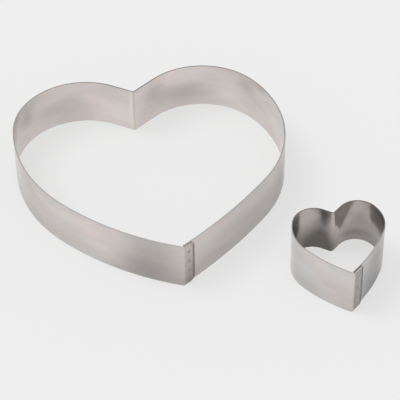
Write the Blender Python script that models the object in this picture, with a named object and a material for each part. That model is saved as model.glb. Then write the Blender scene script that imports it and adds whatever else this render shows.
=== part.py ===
"""A set of two heart cake rings, large and small, open at top and bottom.

Each ring is one strip of stainless steel sheet, standing on its edge and bent into a heart. The strip starts
inside the tip, runs up the right side, over the right lobe and down into the cleft, where it is creased. It then
goes over the left lobe and down the left side, folds round the tip and laps over the outside of the right side,
where a row of spot welds closes the ring.

Metres, +Z up. Both rings stand on z = 0, and the origin is under the middle of the pair. Each ring is drawn in a
plan of its own, with its cleft at the origin and its tip at -Y. A point of a plan is a complex number, x + yj.
"""

import cmath
import math

import bmesh
import bpy
from mathutils import Matrix, Vector

# The strip, the same stock for both rings
BAND_HEIGHT = 0.045
SHEET = 0.001
EDGE_BREAK = 0.00015  # how far the sheared edges are dressed back
LAP_GAP = 0.00015  # between the two lapped sheets
TAIL_GAP = 0.0006  # the hidden end stops this far short of the tip
LAP_DROP = 0.0008  # the lap's top edge is cut this far below the ring's
LAP_STEP_LENGTH = 0.0025  # from the tip's fold to where that cut is at full depth
WELD_COUNT = 3
WELD_CLEARANCE = 0.0003  # round each weld, to the sheets that it joins
WELD_DENT = 0.00015  # depth of the mark that the electrode leaves
WELD_DENT_RIM = 0.0005  # width of the rim round that mark

# Large ring. Each half is a straight flank at the cleft, then a lobe and a shoulder that meet as tangent arcs,
# and a side, the one arc that goes on from the shoulder to the tip. A flank's angle is its rise from the cleft,
# a bend is how far the strip turns in degrees, and radii are to the middle of the sheet. The two halves are bent
# over a form by hand and come out slightly unlike.
LARGE_CLEFT_TO_TIP = 0.1975
LARGE_RIGHT_FLANK = 0.025
LARGE_RIGHT_FLANK_ANGLE = 31.5
LARGE_RIGHT_LOBE_RADIUS = 0.061
LARGE_RIGHT_LOBE_BEND = 92.0
LARGE_RIGHT_SHOULDER_RADIUS = 0.103
LARGE_RIGHT_SHOULDER_BEND = 77.0
LARGE_LEFT_FLANK = 0.020
LARGE_LEFT_FLANK_ANGLE = 37.5
LARGE_LEFT_LOBE_RADIUS = 0.060
LARGE_LEFT_LOBE_BEND = 117.5
LARGE_LEFT_SHOULDER_RADIUS = 0.129
LARGE_LEFT_SHOULDER_BEND = 45.5
LARGE_CLEFT_FOLD_RADIUS = 0.0018
LARGE_TIP_FOLD_RADIUS = 0.0015
LARGE_LAP = 0.012
LARGE_LAP_TOP_CORNER = 0.004
LARGE_LAP_BOTTOM_CORNER = 0.005
LARGE_WELD_RADIUS = 0.002
LARGE_WELD_FROM_FREE_EDGE = 0.006
LARGE_WELD_FROM_BOTTOM = 0.0142
LARGE_WELD_FROM_TOP = 0.0092

# Small ring
SMALL_CLEFT_TO_TIP = 0.0688
SMALL_RIGHT_FLANK = 0.0105
SMALL_RIGHT_FLANK_ANGLE = 41.0
SMALL_RIGHT_LOBE_RADIUS = 0.0177
SMALL_RIGHT_LOBE_BEND = 98.0
SMALL_RIGHT_SHOULDER_RADIUS = 0.030
SMALL_RIGHT_SHOULDER_BEND = 63.5
SMALL_LEFT_FLANK = 0.009
SMALL_LEFT_FLANK_ANGLE = 37.5
SMALL_LEFT_LOBE_RADIUS = 0.018
SMALL_LEFT_LOBE_BEND = 100.0
SMALL_LEFT_SHOULDER_RADIUS = 0.0355
SMALL_LEFT_SHOULDER_BEND = 61.5
SMALL_CLEFT_FOLD_RADIUS = 0.0025
SMALL_TIP_FOLD_RADIUS = 0.0015
SMALL_LAP = 0.0125
SMALL_LAP_TOP_CORNER = 0.0012
SMALL_LAP_BOTTOM_CORNER = 0.003
SMALL_WELD_RADIUS = 0.0015
SMALL_WELD_FROM_FREE_EDGE = 0.003
SMALL_WELD_FROM_BOTTOM = 0.010
SMALL_WELD_FROM_TOP = 0.015

# How the pair stands: each ring's turn about Z, and the small ring's cleft from the large ring's tip
LARGE_TURN = 12.6
SMALL_TURN = 9.9
SMALL_FROM_TIP_X = 0.1248
SMALL_FROM_TIP_Y = 0.0369

# Satin cold-rolled sheet, and the heat-tinted steel of a weld
SHEET_COLOUR = (0.62, 0.61, 0.59)
SHEET_ROUGHNESS = 0.34
WELD_COLOUR = (0.40, 0.37, 0.35)
WELD_ROUGHNESS = 0.5

# How finely round shapes are drawn
CHORD_HEIGHT = 0.000025  # the most that a flat facet may leave the true curve of the sheet
FOLD_STEP = 15.0  # degrees between the facets of a fold
CORNER_STEPS = 6  # steps round a corner of the lap
SHARP_ANGLE = 30.0  # degrees between two facets past which their edge is shaded sharp
WELD_SIDES = 24
CUTTER_MARGIN = 0.001  # how far a drill stands out of the sheets on each side


def along(heading):
    """The unit step in the plan at this heading, in radians from +X."""
    return cmath.rect(1.0, heading)


def arc(centre, radius, start, end):
    """Points of an arc from the heading start to the heading end, both included. It turns left if radius < 0."""
    step = 2.0 * math.acos(1.0 - CHORD_HEIGHT / abs(radius))
    count = max(1, math.ceil(abs(start - end) / step))
    headings = [start + (end - start) * i / count for i in range(count + 1)]
    return [centre + radius * 1j * along(heading) for heading in headings]


def half_plan(tip, flank, flank_angle, lobe_radius, lobe_bend, shoulder_radius, shoulder_bend):
    """Middle of the sheet on the right: the run from the cleft to the side, and the side's arc to the tip."""
    flank_heading = math.radians(flank_angle)
    lobe_end = flank_heading - math.radians(lobe_bend)
    shoulder_end = lobe_end - math.radians(shoulder_bend)
    lobe_centre = (flank - 1j * lobe_radius) * along(flank_heading)
    shoulder_centre = lobe_centre + (lobe_radius - shoulder_radius) * 1j * along(lobe_end)
    run = [0j]
    run += arc(lobe_centre, lobe_radius, flank_heading, lobe_end)
    run += arc(shoulder_centre, shoulder_radius, lobe_end, shoulder_end)[1:]
    # The one arc that leaves the shoulder without a kink and passes through the tip
    to_tip = tip - run[-1]
    half_bend = -cmath.phase(to_tip / along(shoulder_end))
    radius = abs(to_tip) / (2.0 * math.sin(half_bend))
    centre = run[-1] - radius * 1j * along(shoulder_end)
    return run, Side(centre, radius, shoulder_end, shoulder_end - 2.0 * half_bend)


class Side:
    """The arc of one long side, from its start heading to its heading at the tip."""

    def __init__(self, centre, radius, start, end):
        self.centre = centre
        self.radius = radius
        self.start = start
        self.end = end

    def points(self, stop_short=0.0):
        """Points of the side after its first, ending this far short of the tip."""
        return arc(self.centre, self.radius, self.start, self.end + stop_short / self.radius)[1:]


def mirrored(points):
    """The same run on the plan's left, because both halves are drawn as if they were on its right."""
    return [-point.conjugate() for point in points]


def folded(before, after, radius):
    """Two runs that meet at a corner, with a bend of this radius in place of the corner."""
    corner = after[0]
    inward = (corner - before[-2]) / abs(corner - before[-2])
    outward = (after[1] - corner) / abs(after[1] - corner)
    turn = cmath.phase(outward / inward)
    side = math.copysign(1.0, turn)
    start = corner - inward * radius * math.tan(abs(turn) / 2.0)
    spoke = -1j * side * inward * radius
    count = math.ceil(abs(turn) / math.radians(FOLD_STEP))
    bend = [start - spoke + spoke * along(turn * i / count) for i in range(count + 1)]
    return before[:-1] + bend + after[1:]


def shifted(points, distance):
    """The same run, moved to its left by this distance everywhere."""
    directions = [(b - a) / abs(b - a) for a, b in zip(points, points[1:])]
    before = directions[:1] + directions
    after = directions + directions[-1:]
    moved = []
    for point, a, b in zip(points, before, after):
        middle = (a + b) / abs(a + b)
        moved.append(point + 1j * middle * distance / (middle * b.conjugate()).real)
    return moved


def corner_rise(from_edge, radius):
    """How far a rounded corner has left its straight edge, this far in from the free edge."""
    if from_edge >= radius:
        return 0.0
    return radius - math.sqrt(radius**2 - (radius - from_edge) ** 2)


def lap_stations(lap, corner):
    """Distances in from the lap's free edge, from the fold to the edge, with steps round its larger corner."""
    turns = [math.pi / 2.0 * i / CORNER_STEPS for i in range(CORNER_STEPS + 1)]
    return [lap, lap - LAP_STEP_LENGTH] + [corner * (1.0 - math.sin(turn)) for turn in turns]


class Ring:
    """The plan of one ring: the path of its strip, the strip's edges along it and where its welds go."""

    def __init__(self, tip_depth, right, left, cleft_fold, tip_fold, lap, top_corner, bottom_corner):
        right_run, self.side = half_plan(complex(0.0, -tip_depth), *right)
        right_run += self.side.points(stop_short=TAIL_GAP)
        # The lap goes round the same centre as the right side, one sheet and the gap further out. It starts at
        # the ring's tip, the corner where the left side is folded, which stays on the plan's centre line.
        self.lap = lap
        self.lap_radius = self.side.radius + SHEET + LAP_GAP
        self.fold_heading = -math.pi - math.asin(self.side.centre.real / self.lap_radius)
        self.tip = self.side.centre + self.lap_radius * 1j * along(self.fold_heading)
        left_run, left_side = half_plan(self.tip, *left)
        left_run += left_side.points()
        stations = lap_stations(lap, max(top_corner, bottom_corner))
        lap_run = [self.on_lap(from_edge, 0.0) for from_edge in stations]
        strip = folded(right_run[::-1], mirrored(left_run), cleft_fold)
        self.path = folded(strip, lap_run, tip_fold)
        plain = [(0.0, BAND_HEIGHT)] * (len(self.path) - len(stations) + 1)
        cut = [
            (corner_rise(u, bottom_corner), BAND_HEIGHT - LAP_DROP - corner_rise(u, top_corner))
            for u in stations[1:]
        ]
        self.edges = plain + cut

    def out_of_lap(self, from_edge):
        """The way that the lap faces, this far in from its free edge."""
        return 1j * along(self.fold_heading + (self.lap - from_edge) / self.lap_radius)

    def on_lap(self, from_edge, depth):
        """A point this far in from the lap's free edge and this deep inside the middle of its sheet."""
        return self.side.centre + (self.lap_radius - depth) * self.out_of_lap(from_edge)

    def faces(self):
        """The runs of the strip's two faces in the plan."""
        return shifted(self.path, SHEET / 2.0), shifted(self.path, -SHEET / 2.0)


def steel(name, colour, roughness):
    material = bpy.data.materials.new(name)
    material.use_nodes = True
    shader = material.node_tree.nodes["Principled BSDF"]
    shader.inputs["Base Color"].default_value = (*colour, 1.0)
    shader.inputs["Metallic"].default_value = 1.0
    shader.inputs["Roughness"].default_value = roughness
    return material


def add_object(name, mesh, parent, material):
    mesh.materials.append(material)
    mesh.shade_smooth()
    mesh.set_sharp_from_angle(angle=math.radians(SHARP_ANGLE))
    obj = bpy.data.objects.new(name, mesh)
    bpy.context.scene.collection.objects.link(obj)
    obj.parent = parent
    return obj


def finished_mesh(name, bm):
    bmesh.ops.recalc_face_normals(bm, faces=bm.faces)
    mesh = bpy.data.meshes.new(name)
    bm.to_mesh(mesh)
    bm.free()
    return mesh


def section(inner, outer, low, high):
    """The strip's cross-section at one station: a tall rectangle whose four long edges are dressed."""
    in_step = (outer - inner) / abs(outer - inner) * EDGE_BREAK
    corners = [
        (inner, low + EDGE_BREAK),
        (inner + in_step, low),
        (outer - in_step, low),
        (outer, low + EDGE_BREAK),
        (outer, high - EDGE_BREAK),
        (outer - in_step, high),
        (inner + in_step, high),
        (inner, high - EDGE_BREAK),
    ]
    return [Vector((point.real, point.imag, z)) for point, z in corners]


def add_band(name, ring, parent, material):
    """The bent strip: its cross-section carried along the path, closed at both ends."""
    bm = bmesh.new()
    loops = []
    for a, b, (low, high) in zip(*ring.faces(), ring.edges):
        loops.append([bm.verts.new(corner) for corner in section(a, b, low, high)])
    for loop, following in zip(loops, loops[1:]):
        for i in range(len(loop)):
            j = (i + 1) % len(loop)
            bm.faces.new((loop[i], loop[j], following[j], following[i]))
    bm.faces.new(loops[0])
    bm.faces.new(loops[-1])
    return add_object(name, finished_mesh(name, bm), parent, material)


def round_bar(name, radius, length, dent=0.0):
    """A round bar along Z, centred on its origin, with an optional shallow dent in each end."""
    bm = bmesh.new()
    bmesh.ops.create_cone(
        bm, cap_ends=True, segments=WELD_SIDES, radius1=radius, radius2=radius, depth=length
    )
    if dent:
        ends = [face for face in bm.faces if len(face.verts) == WELD_SIDES]
        bmesh.ops.inset_individual(bm, faces=ends, thickness=WELD_DENT_RIM, depth=-dent)
    return finished_mesh(name, bm)


def add_welds(name, ring, band, material, radius, from_free_edge, from_bottom, from_top):
    """The spot welds in a column on the lap. Each passes through both sheets, in a hole with its clearance."""
    through = 2.0 * SHEET + LAP_GAP
    middle = ring.on_lap(from_free_edge, (SHEET + LAP_GAP) / 2.0)
    out = ring.out_of_lap(from_free_edge)
    axis = Vector((out.real, out.imag, 0.0)).to_track_quat("Z", "Y")
    span = BAND_HEIGHT - from_bottom - from_top
    for i in range(WELD_COUNT):
        height = from_bottom + span * i / (WELD_COUNT - 1)
        place = Matrix.LocRotScale(Vector((middle.real, middle.imag, height)), axis, None)
        weld = add_object(
            f"{name}_{i + 1}", round_bar(name, radius, through, WELD_DENT), band.parent, material
        )
        weld.matrix_local = place
        drill_mesh = round_bar(f"{name}_drill", radius + WELD_CLEARANCE, through + 2.0 * CUTTER_MARGIN)
        drill = add_object(f"{name}_{i + 1}_drill", drill_mesh, band.parent, material)
        drill.matrix_local = place
        drill.hide_render = True
        drill.display_type = "WIRE"
        hole = band.modifiers.new(f"weld_hole_{i + 1}", "BOOLEAN")
        hole.operation = "DIFFERENCE"
        hole.solver = "EXACT"
        hole.object = drill


def add_stand(name, place, turn):
    """The empty that carries one ring, at the foot of its cleft. The small ring is lifted along its Z axis."""
    stand = bpy.data.objects.new(name, None)
    bpy.context.scene.collection.objects.link(stand)
    stand.location = (place.real, place.imag, 0.0)
    stand.rotation_euler = (0.0, 0.0, math.radians(turn))
    return stand


def spread(ring, place, turn):
    """Every corner of the ring's plan, as it stands in the set."""
    return [place + point * along(math.radians(turn)) for run in ring.faces() for point in run]


def middle_of(points):
    """The centre of the box round these points."""
    reals = [point.real for point in points]
    imags = [point.imag for point in points]
    return complex((min(reals) + max(reals)) / 2.0, (min(imags) + max(imags)) / 2.0)


def main():
    for obj in list(bpy.data.objects):
        bpy.data.objects.remove(obj)

    large = Ring(
        LARGE_CLEFT_TO_TIP,
        (
            LARGE_RIGHT_FLANK,
            LARGE_RIGHT_FLANK_ANGLE,
            LARGE_RIGHT_LOBE_RADIUS,
            LARGE_RIGHT_LOBE_BEND,
            LARGE_RIGHT_SHOULDER_RADIUS,
            LARGE_RIGHT_SHOULDER_BEND,
        ),
        (
            LARGE_LEFT_FLANK,
            LARGE_LEFT_FLANK_ANGLE,
            LARGE_LEFT_LOBE_RADIUS,
            LARGE_LEFT_LOBE_BEND,
            LARGE_LEFT_SHOULDER_RADIUS,
            LARGE_LEFT_SHOULDER_BEND,
        ),
        LARGE_CLEFT_FOLD_RADIUS,
        LARGE_TIP_FOLD_RADIUS,
        LARGE_LAP,
        LARGE_LAP_TOP_CORNER,
        LARGE_LAP_BOTTOM_CORNER,
    )
    small = Ring(
        SMALL_CLEFT_TO_TIP,
        (
            SMALL_RIGHT_FLANK,
            SMALL_RIGHT_FLANK_ANGLE,
            SMALL_RIGHT_LOBE_RADIUS,
            SMALL_RIGHT_LOBE_BEND,
            SMALL_RIGHT_SHOULDER_RADIUS,
            SMALL_RIGHT_SHOULDER_BEND,
        ),
        (
            SMALL_LEFT_FLANK,
            SMALL_LEFT_FLANK_ANGLE,
            SMALL_LEFT_LOBE_RADIUS,
            SMALL_LEFT_LOBE_BEND,
            SMALL_LEFT_SHOULDER_RADIUS,
            SMALL_LEFT_SHOULDER_BEND,
        ),
        SMALL_CLEFT_FOLD_RADIUS,
        SMALL_TIP_FOLD_RADIUS,
        SMALL_LAP,
        SMALL_LAP_TOP_CORNER,
        SMALL_LAP_BOTTOM_CORNER,
    )

    # The large ring's cleft is placed first, the small ring from the large one's tip, and then the pair is centred
    large_tip = large.tip * along(math.radians(LARGE_TURN))
    small_place = large_tip + complex(SMALL_FROM_TIP_X, SMALL_FROM_TIP_Y)
    centre = middle_of(spread(large, 0j, LARGE_TURN) + spread(small, small_place, SMALL_TURN))

    band_steel = steel("stainless_2b", SHEET_COLOUR, SHEET_ROUGHNESS)
    weld_steel = steel("spot_weld", WELD_COLOUR, WELD_ROUGHNESS)

    large_stand = add_stand("large_ring_stand", -centre, LARGE_TURN)
    large_band = add_band("large_band", large, large_stand, band_steel)
    add_welds(
        "large_spot_weld",
        large,
        large_band,
        weld_steel,
        LARGE_WELD_RADIUS,
        LARGE_WELD_FROM_FREE_EDGE,
        LARGE_WELD_FROM_BOTTOM,
        LARGE_WELD_FROM_TOP,
    )

    small_stand = add_stand("small_ring_stand", small_place - centre, SMALL_TURN)
    small_band = add_band("small_band", small, small_stand, band_steel)
    add_welds(
        "small_spot_weld",
        small,
        small_band,
        weld_steel,
        SMALL_WELD_RADIUS,
        SMALL_WELD_FROM_FREE_EDGE,
        SMALL_WELD_FROM_BOTTOM,
        SMALL_WELD_FROM_TOP,
    )


main()
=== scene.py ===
# %% [markdown]
# # Two heart cake rings
# A cake ring is a mould without a floor: a strip of stainless steel, bent into a heart and closed with spot
# welds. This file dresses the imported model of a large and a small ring: it builds their sheets finely enough
# to carry reflections, gives them the finish of cold-rolled steel, and sets up the camera, the floor and the
# light. Loading the model comes first, because every piece is placed from it. All lengths are in metres, +Z
# up.

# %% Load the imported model
import cmath
import math
from typing import NamedTuple

import bpy
import numpy as np
from mathutils import Matrix, Vector


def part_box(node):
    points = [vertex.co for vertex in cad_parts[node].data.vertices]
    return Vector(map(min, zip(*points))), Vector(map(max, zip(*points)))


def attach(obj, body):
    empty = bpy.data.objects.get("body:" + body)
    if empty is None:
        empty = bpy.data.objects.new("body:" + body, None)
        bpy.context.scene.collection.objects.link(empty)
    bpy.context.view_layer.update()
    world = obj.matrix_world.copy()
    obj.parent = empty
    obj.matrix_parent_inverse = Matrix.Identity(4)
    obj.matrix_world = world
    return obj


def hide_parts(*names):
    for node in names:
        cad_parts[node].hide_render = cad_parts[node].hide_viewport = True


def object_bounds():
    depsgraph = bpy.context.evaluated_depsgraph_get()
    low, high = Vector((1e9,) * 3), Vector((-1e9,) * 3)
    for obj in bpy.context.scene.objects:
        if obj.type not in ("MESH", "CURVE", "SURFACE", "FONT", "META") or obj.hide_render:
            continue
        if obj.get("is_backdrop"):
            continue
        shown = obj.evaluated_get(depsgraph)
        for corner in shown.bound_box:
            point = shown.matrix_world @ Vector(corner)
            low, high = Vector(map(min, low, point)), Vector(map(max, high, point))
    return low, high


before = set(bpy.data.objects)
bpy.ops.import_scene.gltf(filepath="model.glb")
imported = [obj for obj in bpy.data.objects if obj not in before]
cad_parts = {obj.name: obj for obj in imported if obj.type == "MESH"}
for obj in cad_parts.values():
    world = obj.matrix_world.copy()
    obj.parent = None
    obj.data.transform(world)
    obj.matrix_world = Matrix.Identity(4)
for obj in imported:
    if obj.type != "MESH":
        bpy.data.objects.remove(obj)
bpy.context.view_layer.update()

# %% [markdown]
# ## The camera
# The photograph looks down at 44 degrees from about 1.65 m away, through a long lens, so the far side of the
# rings is hardly smaller than the near side. These numbers came from fitting a pinhole camera to the edges
# of the large ring. A pinhole's focal length in pixels turns into a lens in millimetres through the sensor's
# width, and the small shift stands for a picture that was cropped a little off its middle.

# %% Camera
PHOTO_SIDE = 400
FOCAL_PIXELS = 1907.4
SENSOR_WIDTH = 36.0
MIDDLE_COLUMN, MIDDLE_ROW = 195.94, 202.93  # pixel that the lens points at
CAMERA_PLACE = Vector((0.00169, -1.18767, 1.15116))
CAMERA_PITCH = math.radians(44.132)
CAMERA_ROLL = math.radians(0.822)


def put_in_scene(name, data):
    """A new object that holds this data, linked to the scene."""
    thing = bpy.data.objects.new(name, data)
    bpy.context.scene.collection.objects.link(thing)
    return thing


def add_camera():
    data = bpy.data.cameras.new("camera")
    data.sensor_width = SENSOR_WIDTH
    data.lens = FOCAL_PIXELS * SENSOR_WIDTH / PHOTO_SIDE
    half = (PHOTO_SIDE - 1) / 2.0
    data.shift_x = (half - MIDDLE_COLUMN) / PHOTO_SIDE
    data.shift_y = (MIDDLE_ROW - half) / PHOTO_SIDE
    camera = put_in_scene("camera", data)
    right = Vector((1.0, 0.0, 0.0))
    down = Vector((0.0, -math.sin(CAMERA_PITCH), -math.cos(CAMERA_PITCH)))
    turned_right = math.cos(CAMERA_ROLL) * right + math.sin(CAMERA_ROLL) * down
    turned_down = math.cos(CAMERA_ROLL) * down - math.sin(CAMERA_ROLL) * right
    ahead = turned_down.cross(turned_right)
    axes = Matrix((turned_right, -turned_down, ahead)).transposed()
    camera.matrix_world = Matrix.LocRotScale(CAMERA_PLACE, axes, None)
    bpy.context.scene.camera = camera
    return camera


camera = add_camera()
print("Lens, mm:", round(camera.data.lens, 1))

# %% [markdown]
# ## Nodes and colours
# Node trees are long when each node takes four lines. One function adds a node, sets what it is told and
# joins its inputs, either to a plain value or to another node's output. Colours are written as sRGB hex, as
# a painter would pick them, and one function turns them into the linear values that Blender's shaders
# expect.

# %% Helpers for nodes and colours


def add_node(tree, kind, inputs=None, **settings):
    """Adds a node and gives its outputs. Inputs are named or numbered, and take a value or an output."""
    node = tree.nodes.new(kind)
    for setting, value in settings.items():
        setattr(node, setting, value)
    for name, value in (inputs or {}).items():
        if isinstance(value, bpy.types.NodeSocket):
            tree.links.new(value, node.inputs[name])
        else:
            node.inputs[name].default_value = value
    return node.outputs


def linear(hex_colour):
    """(r, g, b, 1) in linear light of a colour such as "#D6CFCB"."""
    shares = [int(hex_colour[i : i + 2], 16) / 255.0 for i in (1, 3, 5)]
    levels = [s / 12.92 if s <= 0.04045 else ((s + 0.055) / 1.055) ** 2.4 for s in shares]
    return (*levels, 1.0)


print("Middle grey #777777 in linear light:", round(linear("#777777")[0], 3))

# %% [markdown]
# ## The sizes of the rings
# Both rings are cut from the same strip of sheet. Where its ends meet at the tip, one of them folds round
# the corner and laps over the other, cut slightly lower, as it is on the real ring.

# %% Sizes that both rings share
BAND_HEIGHT = 0.045
SHEET = 0.001
EDGE_BREAK = 0.00015  # how far the sharp edges were rubbed down
LAP_GAP = 0.00015  # between the two sheets of the lap
TAIL_GAP = 0.0006  # from the hidden end to the fold at the tip
LAP_DROP = 0.0008  # how much lower the lap is cut
LAP_STEP = 0.0025  # width of the slope down to it
print("Strip, mm:", 1000.0 * BAND_HEIGHT, "high and", 1000.0 * SHEET, "thick")

# %% [markdown]
# ## What describes a ring
# The halves of each heart were bent over a form by hand and are slightly unlike, so each half has its own
# numbers: a straight flank at the cleft, a lobe and a shoulder that follow as arcs, and one last arc that
# runs on to the tip. An angle is how far the flank rises from the cleft, a bend is how far the strip turns,
# both in degrees, and radii are to the middle of the sheet.
#
# The steel isn't evenly bright either. Heat, washing and hands leave a grey film on such rings, and a soft
# mirror also shows broad dark and light parts of a room, which can't be known from a photograph. Patches
# that are a little duller or cleaner stand for both. They are set until the tones agree with the
# photograph, and they stay at their places on the steel when the view changes. So each side of a strip has a
# finish of its own, with slightly different tints for the two rings, and with its patches placed on the
# strip: along it from the hidden end, and up from the lower edge. They could be painted on an image, but
# numbers stay sharp at any size and are easy to change.

# %% Kinds of values


class Half(NamedTuple):
    flank: float
    flank_angle: float
    lobe_radius: float
    lobe_bend: float
    shoulder_radius: float
    shoulder_bend: float


class Patch(NamedTuple):
    """A duller patch on the strip's own map, painted shade, or with a negative share a cleaner one, painted
    light.
    """

    along: float
    high: float
    half_length: float
    half_height: float
    share: float


class Finish(NamedTuple):
    """Two clean tints of steel, one dull, and how much film and painted shade: all over, at its foot, in
    patches.
    """

    tints: tuple
    dull_tint: str
    film: float
    foot: float
    patches: tuple


class Ring(NamedTuple):
    name: str
    turn: float
    cleft_to_tip: float
    right: Half
    left: Half
    cleft_fold: float
    tip_fold: float
    lap: float
    top_corner: float
    bottom_corner: float
    weld_radius: float
    lap_stain: float
    wave_seed: float
    outside: Finish
    inside: Finish
    rim: Finish


print("A ring is described by", ", ".join(Ring._fields))

# %% [markdown]
# ## The large ring
# Its left lobe turns much further than its right one. Its outside is painted lighter in the middle of the left
# wall and darker towards the tip, as painted light and shade, and the face of its lap is darker, partly
# stained by the welding and partly painted shade.

# %% The large ring's sizes and finishes
LARGE = Ring(
    name="large",
    turn=12.6,
    cleft_to_tip=0.1975,
    right=Half(0.025, 31.5, 0.061, 92.0, 0.103, 77.0),
    left=Half(0.020, 37.5, 0.060, 117.5, 0.129, 45.5),
    cleft_fold=0.0018,
    tip_fold=0.0015,
    lap=0.012,
    top_corner=0.004,
    bottom_corner=0.005,
    weld_radius=0.002,
    lap_stain=0.33,
    wave_seed=7.3,
    # Outside: a little film, painted shade at the foot, on the right wall and towards the tip, painted light
    # on the left wall
    outside=Finish(
        tints=("#E5D9D5", "#DFDAD7"),
        dull_tint="#6C6E6F",
        film=0.11,
        foot=0.25,
        patches=(
            Patch(0.698, 0.018, 0.044, 0.060, 0.36),
            Patch(0.668, 0.032, 0.028, 0.032, -0.14),
            Patch(0.138, 0.028, 0.027, 0.060, 0.17),
            Patch(0.640, 0.010, 0.110, 0.060, -0.22),
            Patch(0.095, 0.028, 0.085, 0.060, 0.13),
            Patch(0.565, 0.045, 0.060, 0.045, 0.12),
            Patch(0.740, 0.004, 0.009, 0.032, 0.24),
            Patch(0.736, 0.001, 0.007, 0.012, 0.14),
            Patch(0.148, 0.014, 0.050, 0.075, 0.22),
        ),
    ),
    # Inside: a film, painted shade and light in the lobes, a painted highlight beside the crease and painted
    # shade in its fold
    inside=Finish(
        tints=("#EEE2DD", "#E9E1DD"),
        dull_tint="#6B6C68",
        film=0.16,
        foot=-0.03,
        patches=(
            Patch(0.250, 0.034, 0.018, 0.015, 0.20),
            Patch(0.232, 0.045, 0.018, 0.011, 0.22),
            Patch(0.343, 0.029, 0.016, 0.016, 0.18),
            Patch(0.475, 0.028, 0.014, 0.016, 0.18),
            Patch(0.3694, 0.022, 0.0026, 0.060, -0.16),
            Patch(0.3668, 0.022, 0.0015, 0.060, 0.22),
            Patch(0.388, 0.012, 0.045, 0.045, -0.14),
            Patch(0.268, 0.006, 0.035, 0.035, -0.12),
            Patch(0.315, 0.017, 0.045, 0.015, 0.23),
            Patch(0.312, 0.046, 0.036, 0.020, -0.16),
            Patch(0.440, 0.020, 0.045, 0.018, 0.14),
            Patch(0.485, 0.040, 0.045, 0.024, 0.20),
        ),
    ),
    # Edges: a grey film, with painted shade along the far side and painted light on the lap
    rim=Finish(
        tints=("#F4EFEC", "#DCD6D2"),
        dull_tint="#5E5C5A",
        film=0.45,
        foot=0.0,
        patches=(
            Patch(0.340, 0.045, 0.250, 0.020, 0.47),
            Patch(0.735, 0.045, 0.008, 0.020, -0.35),
        ),
    ),
)
print("Large ring from cleft to tip, mm:", 1000.0 * LARGE.cleft_to_tip)

# %% [markdown]
# ## The small ring
# The small ring is a third as long from cleft to tip, but as high. Its inside is painted much darker than its
# outside, and more so towards the foot, as painted shade, and the face of its lap is darker still, partly
# stained and partly painted shade.

# %% The small ring's sizes and finishes
SMALL = Ring(
    name="small",
    turn=9.9,
    cleft_to_tip=0.0688,
    right=Half(0.0105, 41.0, 0.0177, 98.0, 0.030, 63.5),
    left=Half(0.009, 37.5, 0.018, 100.0, 0.0355, 61.5),
    cleft_fold=0.0025,
    tip_fold=0.0015,
    lap=0.0125,
    top_corner=0.0012,
    bottom_corner=0.003,
    weld_radius=0.0015,
    lap_stain=0.76,
    wave_seed=2.9,
    # Outside: painted shade on the right wall, most at its foot and near its top
    outside=Finish(
        tints=("#DCDBDA", "#E2DAD7"),
        dull_tint="#6C6E6F",
        film=0.02,
        foot=0.17,
        patches=(
            Patch(0.034, 0.014, 0.050, 0.060, 0.60),
            Patch(0.036, 0.000, 0.030, 0.014, 0.26),
            Patch(0.190, 0.020, 0.020, 0.060, 0.06),
            Patch(0.050, 0.042, 0.036, 0.028, 0.29),
        ),
    ),
    # Inside: a heavy film and painted shade, darkest low down and near the cleft, with painted light beside it
    inside=Finish(
        tints=("#EBE2DE", "#E8E2DE"),
        dull_tint="#6F6B67",
        film=0.35,
        foot=0.34,
        patches=(
            Patch(0.076, 0.047, 0.026, 0.026, 0.62),
            Patch(0.118, 0.024, 0.016, 0.030, -0.16),
            Patch(0.097, 0.028, 0.013, 0.016, 0.20),
            Patch(0.103, 0.0095, 0.024, 0.0060, 0.16),
            Patch(0.136, 0.024, 0.012, 0.040, 0.20),
            Patch(0.1335, 0.036, 0.008, 0.013, 0.37),
            Patch(0.140, 0.004, 0.030, 0.034, 0.45),
            Patch(0.170, 0.016, 0.018, 0.044, 0.75),
        ),
    ),
    # Edges: a grey film, with painted shade along the far side and at the hidden end, and painted light on the
    # lap
    rim=Finish(
        tints=("#F4EFEC", "#DCD6D2"),
        dull_tint="#5E5C5A",
        film=0.45,
        foot=0.0,
        patches=(
            Patch(0.115, 0.045, 0.085, 0.020, 1.5),
            Patch(0.002, 0.045, 0.012, 0.020, 1.0),
            Patch(0.257, 0.045, 0.009, 0.020, -0.7),
        ),
    ),
)
print("Small ring from cleft to tip, mm:", 1000.0 * SMALL.cleft_to_tip)

# %% [markdown]
# ## The path of the strip
# Seen from above, the strip is a line: from its hidden end inside the tip, up the right side, over the right
# lobe, into the crease at the cleft, over the left lobe, down the left side, round the fold at the tip and
# along the lap. Complex numbers suit such a plan, because multiplying by one turns a point. Steps are short
# enough that a reflection runs round the curve without a break, and shorter still on the lap, where the
# welds leave their marks.

# %% Arcs, halves and folds
PATH_STEP = 0.0016
LAP_PATH_STEP = 0.0005
FOLD_STEP = math.radians(7.5)
FOLD_CLEAR = 0.0001  # no point of a straight run stands closer than this to the bend of a fold
CORNER_STEPS = 9


def along(heading):
    return cmath.rect(1.0, heading)


def arc(centre, radius, start, end, step=PATH_STEP):
    """Points of an arc from one heading to another. It turns left if the radius is negative."""
    count = max(2, math.ceil(abs(radius * (end - start)) / step))
    return [centre + radius * 1j * along(start + (end - start) * i / count) for i in range(count + 1)]


def straight(start, end):
    count = max(1, math.ceil(abs(end - start) / PATH_STEP))
    return [start + (end - start) * i / count for i in range(count + 1)]


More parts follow.
